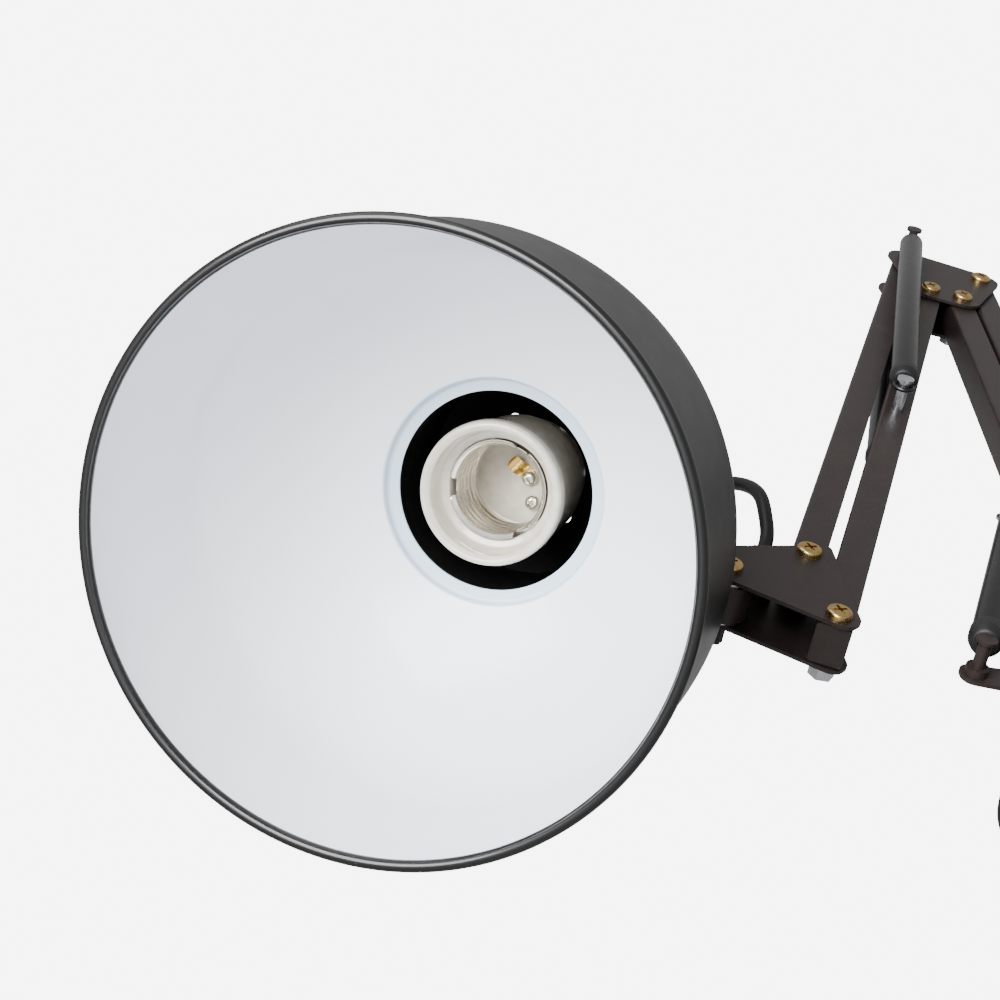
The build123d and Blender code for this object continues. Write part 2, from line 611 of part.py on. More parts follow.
front_holes = [(0, PIVOT_R), (ARM, PIVOT_R), (LOWER_PIN_UP, SCREW_R)]
export(channel_bar(C0, LOWER_LEAN, front_holes), "lower_bar_front")
export(make_spring_pin(LOWER_PIN), "lower_spring_pin")
export(channel_bar(D0, LOWER_LEAN, [(0, PIVOT_R), (ARM, OPEN_PIVOT_R)]), "lower_bar_rear")

for side, name in ((-1, "near"), (1, "far")):
    export(make_sleeve(E1, UPPER_PIN, side * SPRING_Y, 11.0, 5.0), f"upper_sleeve_{name}")
export([make_spring(E1, UPPER_PIN, side * SPRING_Y, 15.0, 6.0) for side in (-1, 1)], "upper_springs")
export([make_eye(UPPER_PIN, E1, side * SPRING_Y) for side in (-1, 1)], "upper_spring_eyes")
export(make_sleeve(LOWER_PIN, P0, -SPRING_Y, 9.0, 11.0), "lower_sleeve")
export(make_spring(LOWER_PIN, P0, -SPRING_Y, 10.0, 15.0), "lower_spring")
export(make_eye(LOWER_PIN, P0, -SPRING_Y), "lower_spring_eye")

export(base_plate(-PLATE_OUT, True), "base_plate_near")
export(base_plate(PLATE_IN, False), "base_plate_far")
export([pan_screw(p, PLATE_OUT + 4.6) for p in (C0, D0, BASE_SCREW)], "base_screws")
export([lock_nut(p) for p in (C0, D0, BASE_SCREW)], "base_nuts")
export(make_spring_stud(), "spring_stud")
export(make_base_block(), "base_block")
export(make_lead_gland(), "lead_gland")

export(make_clamp_body(), "clamp_body")
export(make_clamp_screw(), "clamp_screw")
export(make_tommy_bar(), "tommy_bar")
export(make_clamp_pad(), "clamp_pad")
export(make_thumb_screw(), "thumb_screw")

export(cord_tube(CORD_A, "head_cord_cup"), "head_cord_cup")
export(cord_tube(CORD_B, "head_cord_bracket"), "head_cord_bracket")
mains_lead = cord_tube(LEAD, "mains_lead")
export(mains_lead, "mains_lead")
plug_lead = cord_tube(TAIL, "plug_lead")
export(plug_lead, "plug_lead")
export(make_coil(mains_lead, plug_lead), "lead_coil")
export(make_tie(), "coil_tie")
export(make_plug_body(plug_lead), "plug_body")
export(make_plug_pins(), "plug_pins")
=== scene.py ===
# %% [markdown]
# # A swing arm desk lamp
# The lamp has a deep domed shade on a tilting and swivelling joint, two arms that are each a pair of
# parallel steel channels, springs in black sleeves that balance them, and a screw clamp for the desk.
# Blender is used here for surfaces and finishes. The sizes, places and joints all come from the packed
# model, which is loaded first and never moved.

# %% Load the frame
import bpy
import bmesh
import math
import numpy as np
from mathutils import Matrix, Vector


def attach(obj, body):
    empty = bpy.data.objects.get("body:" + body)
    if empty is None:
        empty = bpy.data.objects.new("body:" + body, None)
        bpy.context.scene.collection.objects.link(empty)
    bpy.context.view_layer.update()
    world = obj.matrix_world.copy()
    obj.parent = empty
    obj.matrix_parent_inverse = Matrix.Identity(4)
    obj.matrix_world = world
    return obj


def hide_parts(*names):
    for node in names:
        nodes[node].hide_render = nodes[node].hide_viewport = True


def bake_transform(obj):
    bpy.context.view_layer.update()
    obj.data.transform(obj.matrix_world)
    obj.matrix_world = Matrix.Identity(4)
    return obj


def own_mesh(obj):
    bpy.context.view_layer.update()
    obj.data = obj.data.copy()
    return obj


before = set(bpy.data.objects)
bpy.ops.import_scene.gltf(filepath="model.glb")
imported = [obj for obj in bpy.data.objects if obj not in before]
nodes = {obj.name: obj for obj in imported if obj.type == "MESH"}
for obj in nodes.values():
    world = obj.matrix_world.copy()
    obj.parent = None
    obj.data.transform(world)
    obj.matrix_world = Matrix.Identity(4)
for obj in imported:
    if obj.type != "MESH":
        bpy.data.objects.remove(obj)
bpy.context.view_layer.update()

# %% [markdown]
# ## Where we stand
# The lamp is looked at from below the shade, close enough to see its white inside and the lampholder.
# A camera is a place and three directions, so we write those down and let a matrix hold them.

# %% Camera
MM = 0.001
camera_data = bpy.data.cameras.new("camera")
camera_data.lens = 72.0
camera_data.sensor_width = 36.0
camera_data.clip_start = 0.01
camera = bpy.data.objects.new("camera", camera_data)
bpy.context.scene.collection.objects.link(camera)
bpy.context.scene.camera = camera

right = Vector((0.98271, -0.18517, 0.0)).normalized()
ahead = Vector((0.08700, 0.46173, 0.88274)).normalized()
up = right.cross(ahead).normalized()
right = ahead.cross(up)
camera.matrix_world = Matrix((
    (right.x, up.x, -ahead.x, -241.96 * MM),
    (right.y, up.y, -ahead.y, -285.28 * MM),
    (right.z, up.z, -ahead.z, -419.52 * MM),
    (0.0, 0.0, 0.0, 1.0),
))
print("camera looks up by", round(math.degrees(math.asin(ahead.z)), 1), "degrees")

# %% [markdown]
# ## Colours and nodes
# Colours are written as sRGB hex values, as a paint maker gives them, and one function turns them to
# the linear values that a shader wants. One more function adds any node with its settings and links,
# so that each material reads as a short list.


# %% Colour and node helpers
def linear(hex_colour):
    """Linear RGBA of an sRGB hex colour: c / 12.92 below 0.04045, else ((c + 0.055) / 1.055) ** 2.4."""
    srgb = np.array([int(hex_colour[i:i + 2], 16) for i in (1, 3, 5)]) / 255.0
    values = np.where(srgb <= 0.04045, srgb / 12.92, ((srgb + 0.055) / 1.055) ** 2.4)
    return (*values.tolist(), 1.0)


def add(tree, kind, inputs=None, **settings):
    """Adds a node, sets its properties, and fills each named input with a value or a link."""
    node = tree.nodes.new(kind)
    for name, value in settings.items():
        setattr(node, name, value)
    for name, value in (inputs or {}).items():
        if isinstance(value, bpy.types.NodeSocket):
            tree.links.new(value, node.inputs[name])
        else:
            node.inputs[name].default_value = value
    return node


def new_material(name, colour, **values):
    """A material whose shader sockets are set directly; returns it, its tree and its shader."""
    material = bpy.data.materials.new(name)
    material.use_nodes = True
    material.diffuse_color = linear(colour)
    tree = material.node_tree
    shader = tree.nodes["Principled BSDF"]
    shader.inputs["Base Color"].default_value = linear(colour)
    for socket, value in values.items():
        shader.inputs[socket.replace("_", " ")].default_value = value
    return material, tree, shader


def ramp(tree, factor, stops):
    """A colour ramp through (position, hex colour) stops."""
    node = add(tree, "ShaderNodeValToRGB", {"Fac": factor})
    while len(node.color_ramp.elements) < len(stops):
        node.color_ramp.elements.new(0.5)
    for element, (position, colour) in zip(node.color_ramp.elements, stops):
        element.position = position
        element.color = linear(colour)
    return node


def noise_at(tree, size_mm, detail=2.0):
    """Noise in object space whose blobs are about size_mm across: its scale is 1000 mm / size_mm."""
    place = add(tree, "ShaderNodeTexCoord")
    return add(tree, "ShaderNodeTexNoise", {
        "Vector": place.outputs["Object"], "Scale": 1.0 / (size_mm * MM), "Detail": detail,
    })


def bump(tree, shader, height, depth_mm):
    """Links a height field, in mm, to the shader's normal."""
    node = add(tree, "ShaderNodeBump", {"Height": height, "Distance": depth_mm * MM})
    tree.links.new(node.outputs["Normal"], shader.inputs["Normal"])


# %% [markdown]
# ## Finishes
# Arms and brackets are sheet steel with a satin baking paint. It is nearly black with some grey-brown
# in it, and close up it has a fine orange peel and small changes of sheen. The peel of such paint is
# about 0.7 mm across and a few microns deep.


# %% Satin black baking paint
def satin_paint(name, colour, lighter, sheen):
    """Painted steel: dielectric, roughness varying round sheen, with orange peel 0.7 mm across."""
    material, tree, shader = new_material(
        name, colour, Roughness=sheen, IOR=1.5, Specular_IOR_Level=0.3)
    cloud = noise_at(tree, 9.0, 3.0)
    tint = ramp(tree, cloud.outputs["Fac"], [(0.35, colour), (0.7, lighter)])
    tree.links.new(tint.outputs["Color"], shader.inputs["Base Color"])
    spread = add(tree, "ShaderNodeMapRange", {
        "Value": cloud.outputs["Fac"], "To Min": sheen - 0.05, "To Max": sheen + 0.05,
    })
    tree.links.new(spread.outputs["Result"], shader.inputs["Roughness"])
    peel = noise_at(tree, 0.7, 1.0)
    bump(tree, shader, peel.outputs["Fac"], 0.008)
    return material


arm_paint = satin_paint("satin_black_baking_paint", "#231c1b", "#29211f", 0.42)
shade_paint = satin_paint("satin_black_stoving_enamel", "#141112", "#1a1617", 0.34)
cup_paint = satin_paint("satin_black_cup_enamel", "#141414", "#181818", 0.4)

# %% [markdown]
# The inside of the shade is white stoving enamel, smooth and glossy. Round the neck it takes a
# blue-grey copy of that enamel, which is painted shade. The rolled bead round the rim is gloss black. A
# clear coat stands for the gloss of each.


# %% Gloss enamels
def gloss_enamel(name, colour, gloss):
    """Fired or stoved enamel: a smooth coat over pigment, waves about 6 mm across."""
    material, tree, shader = new_material(
        name, colour, Roughness=0.32, IOR=1.5, Specular_IOR_Level=0.35, Coat_Weight=0.4,
        Coat_Roughness=gloss, Coat_IOR=1.4)
    waves = noise_at(tree, 6.0, 1.0)
    bump(tree, shader, waves.outputs["Fac"], 0.01)
    return material


white_enamel = gloss_enamel("white_stoving_enamel", "#eef1f6", 0.12)
# Painted shade: a blue-grey copy of the white enamel for the shadowed ring round the neck.
neck_painted_shade = gloss_enamel("blue_grey_enamel_painted_shade_of_the_neck", "#c9dbea", 0.08)
bead_enamel = gloss_enamel("gloss_black_enamel", "#0d0d0e", 0.08)


# %% [markdown]
# The lampholder is glazed porcelain, off-white, with a smooth glaze. Light goes a
# little way in, so its shadows are soft and warm.


# %% Glazed porcelain
def porcelain_glaze():
    """Glaze over porcelain: warm white, light scattered 1 mm deep, faint mottling 3 mm across."""
    material, tree, shader = new_material(
        "glazed_porcelain", "#cdc5b6", Roughness=0.25, IOR=1.52, Coat_Weight=0.8, Coat_Roughness=0.07,
        Subsurface_Weight=0.08, Subsurface_Scale=0.001)
    mottle = noise_at(tree, 3.0, 3.0)
    tint = ramp(tree, mottle.outputs["Fac"], [(0.3, "#c6beae"), (0.7, "#d3ccbe")])
    tree.links.new(tint.outputs["Color"], shader.inputs["Base Color"])
    bump(tree, shader, mottle.outputs["Fac"], 0.03)
    return material


porcelain = porcelain_glaze()


# %% [markdown]
# Metals keep the default index of refraction and take their look from colour and roughness. Zinc
# plate on the screws is passivated, which gives the yellow ones a faint rainbow of gold, pink and
# green. Nickel is warm and clean, and drawn spring wire is duller, with a fine grain.


# %% Plated and bare metals
def plated(name, colours, rough, blot_mm, scratch_mm):
    """Plated steel: fully metallic, colour wandering through the given stops, fine crystal bump."""
    material, tree, shader = new_material(name, colours[0], Metallic=1.0, Roughness=rough)
    blots = noise_at(tree, blot_mm, 2.0)
    stops = [(0.3 + 0.4 * i / max(1, len(colours) - 1), c) for i, c in enumerate(colours)]
    tint = ramp(tree, blots.outputs["Fac"], stops)
    tree.links.new(tint.outputs["Color"], shader.inputs["Base Color"])
    grain = noise_at(tree, scratch_mm, 2.0)
    spread = add(tree, "ShaderNodeMapRange", {
        "Value": grain.outputs["Fac"], "To Min": rough - 0.07, "To Max": rough + 0.09,
    })
    tree.links.new(spread.outputs["Result"], shader.inputs["Roughness"])
    bump(tree, shader, grain.outputs["Fac"], 0.006)
    return material


yellow_zinc = plated(
    "yellow_passivated_zinc", ["#b3934f", "#c3ae68", "#bd8f6c", "#9fa866"], 0.26, 2.5, 0.4)
bright_zinc = plated("bright_zinc_plate", ["#c4c7cb", "#d4d6d9"], 0.28, 3.0, 0.4)
nickel = plated("bright_nickel_plate", ["#d6d2c8", "#e2ded4"], 0.16, 3.0, 0.5)
brass = plated("bright_brass", ["#d7b56a", "#caa255"], 0.22, 3.0, 0.4)
dark_wire = plated("oil_blackened_spring_steel", ["#3a3a3b", "#4a4a4b"], 0.32, 1.5, 0.3)


# %% [markdown]
# Sleeves over the springs are extruded vinyl: jet black and glossy, with a faint grain. The lead is
# softer PVC with a satin skin. Knobs and the plug are moulded, with a fine spark texture of about
# 0.4 mm. The clamp is a casting under thick paint.


# %% Plastics and the casting
def moulded(name, colour, rough, grain_mm, depth_mm, coat=0.0):
    """Moulded or extruded plastic: dielectric, grain of the given size."""
    material, tree, shader = new_material(
        name, colour, Roughness=rough, IOR=1.5, Specular_IOR_Level=0.3, Coat_Weight=coat,
        Coat_Roughness=0.12, Coat_IOR=1.35)
    grain = noise_at(tree, grain_mm, 2.0)
    bump(tree, shader, grain.outputs["Fac"], depth_mm)
    spread = add(tree, "ShaderNodeMapRange", {
        "Value": grain.outputs["Fac"], "To Min": rough - 0.06, "To Max": rough + 0.06,
    })
    tree.links.new(spread.outputs["Result"], shader.inputs["Roughness"])
    return material


vinyl = moulded("gloss_black_vinyl_sleeve", "#0a0a0a", 0.3, 2.5, 0.03, 0.2)
lead_pvc = moulded("satin_black_pvc_lead", "#0e0e0e", 0.4, 1.2, 0.015)
nylon = moulded("spark_textured_black_nylon", "#161616", 0.48, 0.4, 0.02)
casting = moulded("black_painted_casting", "#1c1b1b", 0.4, 1.6, 0.06, 0.3)


def dress(node, material):
    """Gives a CAD node its finish on each of its own material slots."""
    target = nodes[node]
    for slot in target.material_slots:
        slot.material = material
    if not target.material_slots:
        target.data.materials.append(material)


# %% [markdown]
# ## Surfaces as arrays
# Every new piece is a grid of points worked out with numpy. A lathe turns a profile of (radius, depth)
# pairs round an axis, and a tube carries a circle along a line. One function joins neighbours of the
# grid into quads, closes the seams and turns the faces outwards.


# %% Grids, lathes and tubes
def grid_mesh(name, points, wrap_rows=False, wrap_columns=False, material=None, body=None):
    """Object from an n x m x 3 grid in metres: quad (i, j) joins rows i, i + 1 and columns j, j + 1."""
    n, m = points.shape[:2]
    i = np.arange(n if wrap_rows else n - 1)[:, None]
    j = np.arange(m if wrap_columns else m - 1)[None, :]
    corners = [(i, j), (i + 1, j), (i + 1, j + 1), (i, j + 1)]
    quads = np.stack([(a % n) * m + (b % m) for a, b in corners], axis=-1).reshape(-1, 4)
    mesh = bpy.data.meshes.new(name)
    mesh.from_pydata(points.reshape(-1, 3).tolist(), [], quads.tolist())
    piece = bpy.data.objects.new(name, mesh)
    bpy.context.scene.collection.objects.link(piece)
    tidy(piece)
    if material is not None:
        mesh.materials.append(material)
    if body is not None:
        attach(piece, body)
    return piece


def tidy(piece, angle=35.0):
    """Merges doubles at seams and poles, points the faces outwards and smooths below an angle."""
    work = bmesh.new()
    work.from_mesh(piece.data)
    bmesh.ops.remove_doubles(work, verts=work.verts, dist=2e-6)
    bmesh.ops.dissolve_degenerate(work, dist=1e-7, edges=work.edges)
    bmesh.ops.recalc_face_normals(work, faces=work.faces)
    work.to_mesh(piece.data)
    work.free()
    piece.data.shade_smooth()
    piece.data.set_sharp_from_angle(angle=math.radians(angle))


def rounded(corners, steps=6):
    """Profile through (radius, depth, rounding) corners: each is cut back by a circular arc."""
    line = []
    for index, (x, y, r) in enumerate(corners):
        here = np.array((x, y), float)
        if r <= 0 or index in (0, len(corners) - 1):
            line.append(here[None, :])
            continue
        before = np.array(corners[index - 1][:2], float) - here
        after = np.array(corners[index + 1][:2], float) - here
        a, b = before / np.linalg.norm(before), after / np.linalg.norm(after)
        half = 0.5 * math.acos(float(np.clip(a @ b, -1, 1)))
        cut = r / math.tan(half)
        centre = here + (a + b) / np.linalg.norm(a + b) * (r / math.sin(half))
        start, stop = here + a * cut - centre, here + b * cut - centre
        sweep = math.atan2(start[0] * stop[1] - start[1] * stop[0], float(start @ stop))
        t = np.linspace(0, sweep, steps + 1)
        line.append(centre + np.stack([start[0] * np.cos(t) - start[1] * np.sin(t),
                                       start[0] * np.sin(t) + start[1] * np.cos(t)], axis=1))
    return np.concatenate(line)


def axes(origin, axis, towards):
    """Origin, x, y and z of a local frame: z along axis, x towards a point or direction, in mm."""
    z = np.array(axis, float) / np.linalg.norm(axis)
    x = np.array(towards, float) - z * (np.array(towards, float) @ z)
    x = x / np.linalg.norm(x)
    return np.array(origin, float), x, np.cross(z, x), z


def turned(profile, local, segments=96):
    """Grid of a surface of revolution: origin + r cos t x + r sin t y + d z, in metres."""
    origin, x, y, z = local
    t = np.linspace(0, 2 * math.pi, segments, endpoint=False)[:, None, None]
    r, d = profile[None, :, 0, None], profile[None, :, 1, None]
    return (origin + r * np.cos(t) * x + r * np.sin(t) * y + d * z) * MM


def lathe(name, profile, local, material, body, segments=96, closed=True):
    """A turned piece; a closed profile makes a ring, an open one starts and ends on the axis."""
    return grid_mesh(name, turned(np.asarray(profile, float), local, segments), wrap_rows=True,
                     wrap_columns=closed, material=material, body=body)


def tube_grid(line, radius, sides=16):
    """Circle of the given radius, or radii, carried square to a line of points, in metres."""
    line = np.asarray(line, float)
    tangent = np.gradient(line, axis=0)
    tangent /= np.linalg.norm(tangent, axis=1, keepdims=True)
    values, vectors = np.linalg.eigh(tangent.T @ tangent)
    side = np.cross(tangent, vectors[:, 0])
    side /= np.linalg.norm(side, axis=1, keepdims=True)
    other = np.cross(tangent, side)
    t = np.linspace(0, 2 * math.pi, sides, endpoint=False)[None, :, None]
    radii = np.broadcast_to(np.asarray(radius, float), (len(line),))[:, None, None]
    return line[:, None, :] + radii * (np.cos(t) * side[:, None, :] + np.sin(t) * other[:, None, :])


def capped(grid):
    """Closes the ends of a tube's grid by drawing its first and last rings in to their middles."""
    first, last = grid[:1].mean(axis=1, keepdims=True), grid[-1:].mean(axis=1, keepdims=True)
    width = grid.shape[1]
    return np.concatenate([np.repeat(first, width, axis=1), grid, np.repeat(last, width, axis=1)])


# %% [markdown]
# ## Leads
# A lead is a fixed length of something flexible, so it comes before the hard parts. Its line is a
# smooth NURBS spline through a few given points. Where a lead crosses a joint it is made a mesh
# tube along that same spline, because only a mesh can bend between two bodies.


# %% Lead helpers
CORD_R = 2.25  # mm: half of a light two-core lead's 4.5 mm


def spline(name, points_mm):
    """A NURBS curve object of order 3 with the given control points."""
    curve = bpy.data.curves.new(name, "CURVE")
    curve.dimensions = "3D"
    curve.resolution_u = 8
    line = curve.splines.new("NURBS")
    line.points.add(len(points_mm) - 1)
    flat = np.concatenate([np.array(points_mm, float) * MM, np.ones((len(points_mm), 1))], axis=1)
    line.points.foreach_set("co", flat.ravel())
    line.order_u = 3
    line.use_endpoint_u = True
    piece = bpy.data.objects.new(name, curve)
    bpy.context.scene.collection.objects.link(piece)
    return piece


def route(points_mm):
    """The smooth line of the spline itself, as an array of points in metres."""
    guide = spline("guide", points_mm)
    mesh = bpy.data.meshes.new_from_object(guide)
    line = np.zeros(len(mesh.vertices) * 3)
    mesh.vertices.foreach_get("co", line)
    bpy.data.objects.remove(guide)
    bpy.data.meshes.remove(mesh)
    return line.reshape(-1, 3)


def lead_tube(name, points_mm, material):
    """A mesh tube of the lead's diameter along its spline, the line it follows and its length."""
    line = route(points_mm)
    piece = grid_mesh(name, capped(tube_grid(line, CORD_R * MM, 18)), wrap_columns=True,
                      material=material)
    length = float(np.linalg.norm(np.diff(line, axis=0), axis=1).sum())
    print(name, "is", round(length, 4), "m long")
    return piece, line, length


# %% [markdown]
# The short lead of the head leaves a gland on the shade's cup, rises in a loop and dives between the
# two plates of the bracket, where a saddle grips it. It is made of two lengths that meet in the
# middle of a straight run: one spans the shade's swivel, the other its tilt.

# %% Head lead
RIM = np.array((-225.6, -28.8, 32.2))
AXIS = np.array((0.349, 0.244, 0.905)) / np.linalg.norm((0.349, 0.244, 0.905))
TILT = np.array((-120.89, 0.0, 91.65))
CROSSING = RIM + AXIS * (-RIM[1] / AXIS[1])  # where the shade's axis meets the plane of the arms
toward_arm = (TILT - CROSSING) - AXIS * ((TILT - CROSSING) @ AXIS)
toward_arm = toward_arm / np.linalg.norm(toward_arm)
shade_axes = axes(RIM, AXIS, toward_arm)
gland_seat = RIM + AXIS * 148.6 + toward_arm * 27.0
gland_dir = (AXIS + toward_arm * 1.02) / np.linalg.norm(AXIS + toward_arm * 1.02)

MEETING = (-122.25, 6.3, 167.2)
head_points_cup = [
    gland_seat + gland_dir * 6.6, gland_seat + gland_dir * 16.6, (-126.5, 9.2, 167.0), MEETING,
]
head_points_bracket = [
    MEETING, (-118.0, 3.4, 167.4), (-112.4, -1.5, 161.8), (-107.8, -6.0, 153.1), (-105.1, -8.0, 143.8),
    (-104.2, -5.9, 134.8), (-103.4, -2.2, 126.8), (-105.6, 0.6, 119.4), (-107.0, 0.0, 111.1),
]
head_lead_cup, cup_line, _ = lead_tube("head_lead_cup", head_points_cup, lead_pvc)
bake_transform(head_lead_cup)
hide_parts("head_cord_cup")

head_lead_bracket, bracket_line, bracket_length = lead_tube(
    "head_lead_bracket", head_points_bracket, lead_pvc)
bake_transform(head_lead_bracket)
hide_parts("head_cord_bracket")

# %% [markdown]
# The mains lead leaves the base block through a tapered strain relief, falls round the post in a wide
# curve and becomes a neat coil of nine turns on the clamp's jaw, tied as it was for storing. Its other
# end rises off the coil to the plug that lies on top. The turns step from place to place in a three by
# three bundle, all at one side of the coil.

# %% Mains lead and its coil
mains_points = [
    (19.7, 0.0, 39.1), (28.9, 0.0, 32.2), (35.1, 5.6, 24.3), (36.6, 15.1, 17.9), (31.6, 25.3, 15.0),
    (22.0, 32.7, 13.2), (10.1, 35.6, 12.0), (-1.8, 34.0, 11.0), (-11.6, 28.7, 10.4),
]
mains_lead, mains_line, mains_length = lead_tube("mains_lead_free", mains_points, lead_pvc)
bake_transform(mains_lead)
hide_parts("mains_lead")

BUNDLE = [(1, -1), (0, -1), (-1, -1), (-1, 0), (-1, 1), (0, 1), (0, 0), (1, 0), (1, 1)]
STEP = 4.6  # mm: a lead's diameter and a little air
COIL_R, COIL_Z = 27.0, 15.0  # mm: the middle of the bundle
SLIDE_FROM, SLIDE_OVER = 200.0, 70.0  # degrees: where a turn leaves its place, and how long it takes


def coil_points(start_deg, end_deg, per_turn=14):
    """Turns round the post: radius 27 and height 15 mm, plus the place in the bundle times its step.

    Each turn holds its place and slides to the next over 70 degrees, by the easing 3 s^2 - 2 s^3.
    """
    count = int(round((end_deg - start_deg) / 360.0 * per_turn)) + 1
    azimuth = np.linspace(start_deg, end_deg, count)
    progress = (azimuth - SLIDE_FROM) / 360.0
    turn = np.floor(progress)
    share = np.clip((progress - turn) * 360.0 / SLIDE_OVER, 0, 1)
    share = share * share * (3 - 2 * share)
    places = np.array(BUNDLE, float)
    low = np.clip(turn, -1, 7).astype(int)
    place = (places[np.clip(low, 0, 8)] * (1 - share)[:, None]
             + places[np.clip(low + 1, 0, 8)] * share[:, None])
    radius = COIL_R + STEP * place[:, 0]
    height = COIL_Z + STEP * place[:, 1]
    angle = np.radians(azimuth)
    return np.stack([radius * np.cos(angle), radius * np.sin(angle), height], axis=1)


tail_points = [
    (13.0, 27.3, 19.2), (1.5, 32.8, 21.4), (-11.0, 35.8, 24.0), (-23.8, 35.4, 26.4),
    (-35.7, 30.6, 28.2),
    (-43.0, 20.1, 28.8), (-43.0, 7.3, 28.8), (-35.85, -2.9, 28.8),
]
coil = coil_points(112.0, 112.0 + 360 * 8 + 290)
lead_coil = spline("mains_lead_coil", np.concatenate([coil, np.array(tail_points)]))
lead_coil.data.bevel_depth = CORD_R * MM
lead_coil.data.bevel_resolution = 3
lead_coil.data.use_fill_caps = True
lead_coil.data.materials.append(lead_pvc)
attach(lead_coil, "clamp")
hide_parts("lead_coil", "plug_lead")
coil_line = route(np.concatenate([coil, np.array(tail_points)]))

# %% [markdown]
# ## Shade
# The shade is spun from thin sheet: a straight skirt, a dome that is part of an ellipse, and a short
# stepped neck. It is one lathe whose profile runs up the inside and back down the outside, so the
# sheet has its real thickness. A face's column in the profile says whether it is inside, outside or
# in the neck, and so which of three materials it takes: white enamel inside, black paint outside, and
# in the neck a blue-grey enamel that is painted shade.

# %% Shade shell
SHEET = 0.7  # mm
SKIRT_R, SKIRT_TOP = 84.0, 45.0  # mm: inside radius of the skirt, and where the dome starts
DOME_RISE, COLLAR_R = 57.2, 35.0  # mm: the ellipse's height and the neck's inside radius


def shade_line(grow, count=40):
    """Half profile from rim to neck: skirt to 45 mm, ellipse 84 by 57.2 mm, collar of radius 35 mm."""
    skirt_r, lip_r = SKIRT_R + grow, COLLAR_R + grow
    last = math.acos(lip_r / skirt_r)
    t = np.linspace(0, last, count)
    dome = np.stack([skirt_r * np.cos(t), SKIRT_TOP + (DOME_RISE + grow) * np.sin(t)], axis=1)
    skirt = np.stack([np.full(8, skirt_r), np.linspace(0.3, 42.0, 8)], axis=1)
    return np.concatenate([skirt, dome])


def neck_line(grow):
    """The stepped neck: dome edge, collar wall and the ledge round the hole, with soft corners."""
    lip_r = COLLAR_R + grow
    lip = SKIRT_TOP + (DOME_RISE + grow) * math.sin(math.acos(lip_r / (SKIRT_R + grow)))
    corners = [(lip_r + 2.6, lip - 1.3, 0), (lip_r, lip, 1.0 if grow == 0 else 1.7),
               (lip_r, 100.0 + grow, 1.2 if grow == 0 else 1.9), (31.0, 100.0 + grow, 0)]
    return rounded(corners, 8)


inner = np.concatenate([shade_line(0.0)[:-1], neck_line(0.0)[1:]])
outer = np.concatenate([shade_line(SHEET)[:-1], neck_line(SHEET)[1:]])[::-1]
shade = lathe("shade_shell", np.concatenate([inner, outer]), shade_axes, white_enamel, "shade", 192)
shade.data.materials.append(shade_paint)
column = np.arange(len(shade.data.polygons)) % (len(inner) + len(outer))
outside = column >= len(inner)
# The neck's inner faces get painted shade, the blue-grey enamel in the third slot.
neck = (column >= len(inner) - len(neck_line(0.0)) + 1) & ~outside
shade.data.materials.append(neck_painted_shade)
shade.data.polygons.foreach_set("material_index", (outside + 2 * neck).astype(np.int32))
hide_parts("shade")
print("shade has", len(shade.data.polygons), "faces, of which", int(neck.sum()), "are in the neck")

# %% [markdown]
# The rim is closed by a separate rolled bead. Its section is nearly round, with a small groove where
# it meets the white, and it carries one thin line of light all the way round.

# %% Rim bead
t = np.linspace(0, 2 * math.pi, 28, endpoint=False)
swell = 1.7 - 0.28 * np.exp(-((t - 1.18 * math.pi) / 0.22) ** 2)
bead_profile = np.stack([85.3 + swell * np.cos(t), swell * np.sin(t)], axis=1)
bead = lathe("rim_bead_rolled", bead_profile, shade_axes, bead_enamel, "shade", 192)
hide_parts("rim_bead")

# %% [markdown]
# ## Lampholder
# The lampholder is a porcelain cup with a deep recess. Every edge of it is soft, because glaze does
# not stay on a sharp one. Inside sits a nickelled thread sleeve, pressed from sheet, so its thread is
# a wave on both sides, with three notches where tabs hold it.

# %% Porcelain body
porcelain_profile = rounded([
    (0.0, 130.0, 0), (15.8, 130.0, 1.0), (15.8, 103.5, 0.8), (18.4, 102.7, 1.2), (19.3, 94.9, 1.4),
    (20.6, 93.5, 0.9), (22.0, 93.7, 1.0), (22.5, 95.4, 1.2), (22.5, 99.4, 1.4), (20.7, 102.2, 2.0),
    (20.6, 127.0, 2.5), (18.0, 133.0, 2.0), (18.0, 141.0, 1.0), (5.3, 141.0, 0.3), (5.3, 133.5, 0.3),
    (0.0, 133.5, 0),
], 7)
holder = lathe("porcelain_lampholder", porcelain_profile, shade_axes, porcelain, "shade", 128,
               closed=False)
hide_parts("lampholder")

# %% Thread sleeve
def thread_sleeve():
    """Wall radius 13.95 + 0.35 cos(2 pi depth / pitch - turn), in mm.

    The front edge steps back at three notches, and flares out in front.
    """
    pitch, thick = 3.62, 0.32
    turn = np.linspace(0, 2 * math.pi, 168, endpoint=False)[:, None]
    notch = sum(1 / (1 + np.exp((np.abs(np.angle(np.exp(1j * (turn - a)))) - 0.16) / 0.012))
                for a in (0.7, 2.8, 4.9))
    front = 102.6 + 3.0 * notch
    share = np.linspace(0, 1, 70)[None, :]
    depth_in = front + (123.5 - front) * share
    fade = np.clip((depth_in - front - 1.2) / 1.5, 0, 1)
    wave = 0.35 * fade * np.cos(2 * math.pi * depth_in / pitch - turn)
    flare = 1.3 * np.exp(-((depth_in - 102.6) / 0.7) ** 2)
    inner_r = 13.95 + wave + flare
    r = np.concatenate([inner_r, (inner_r + thick)[:, ::-1]], axis=1)
    d = np.concatenate([depth_in, depth_in[:, ::-1]], axis=1)
    origin, x, y, z = shade_axes
    r, d, a = r[..., None], d[..., None], turn[..., None]
    return (origin + r * np.cos(a) * x + r * np.sin(a) * y + d * z) * MM


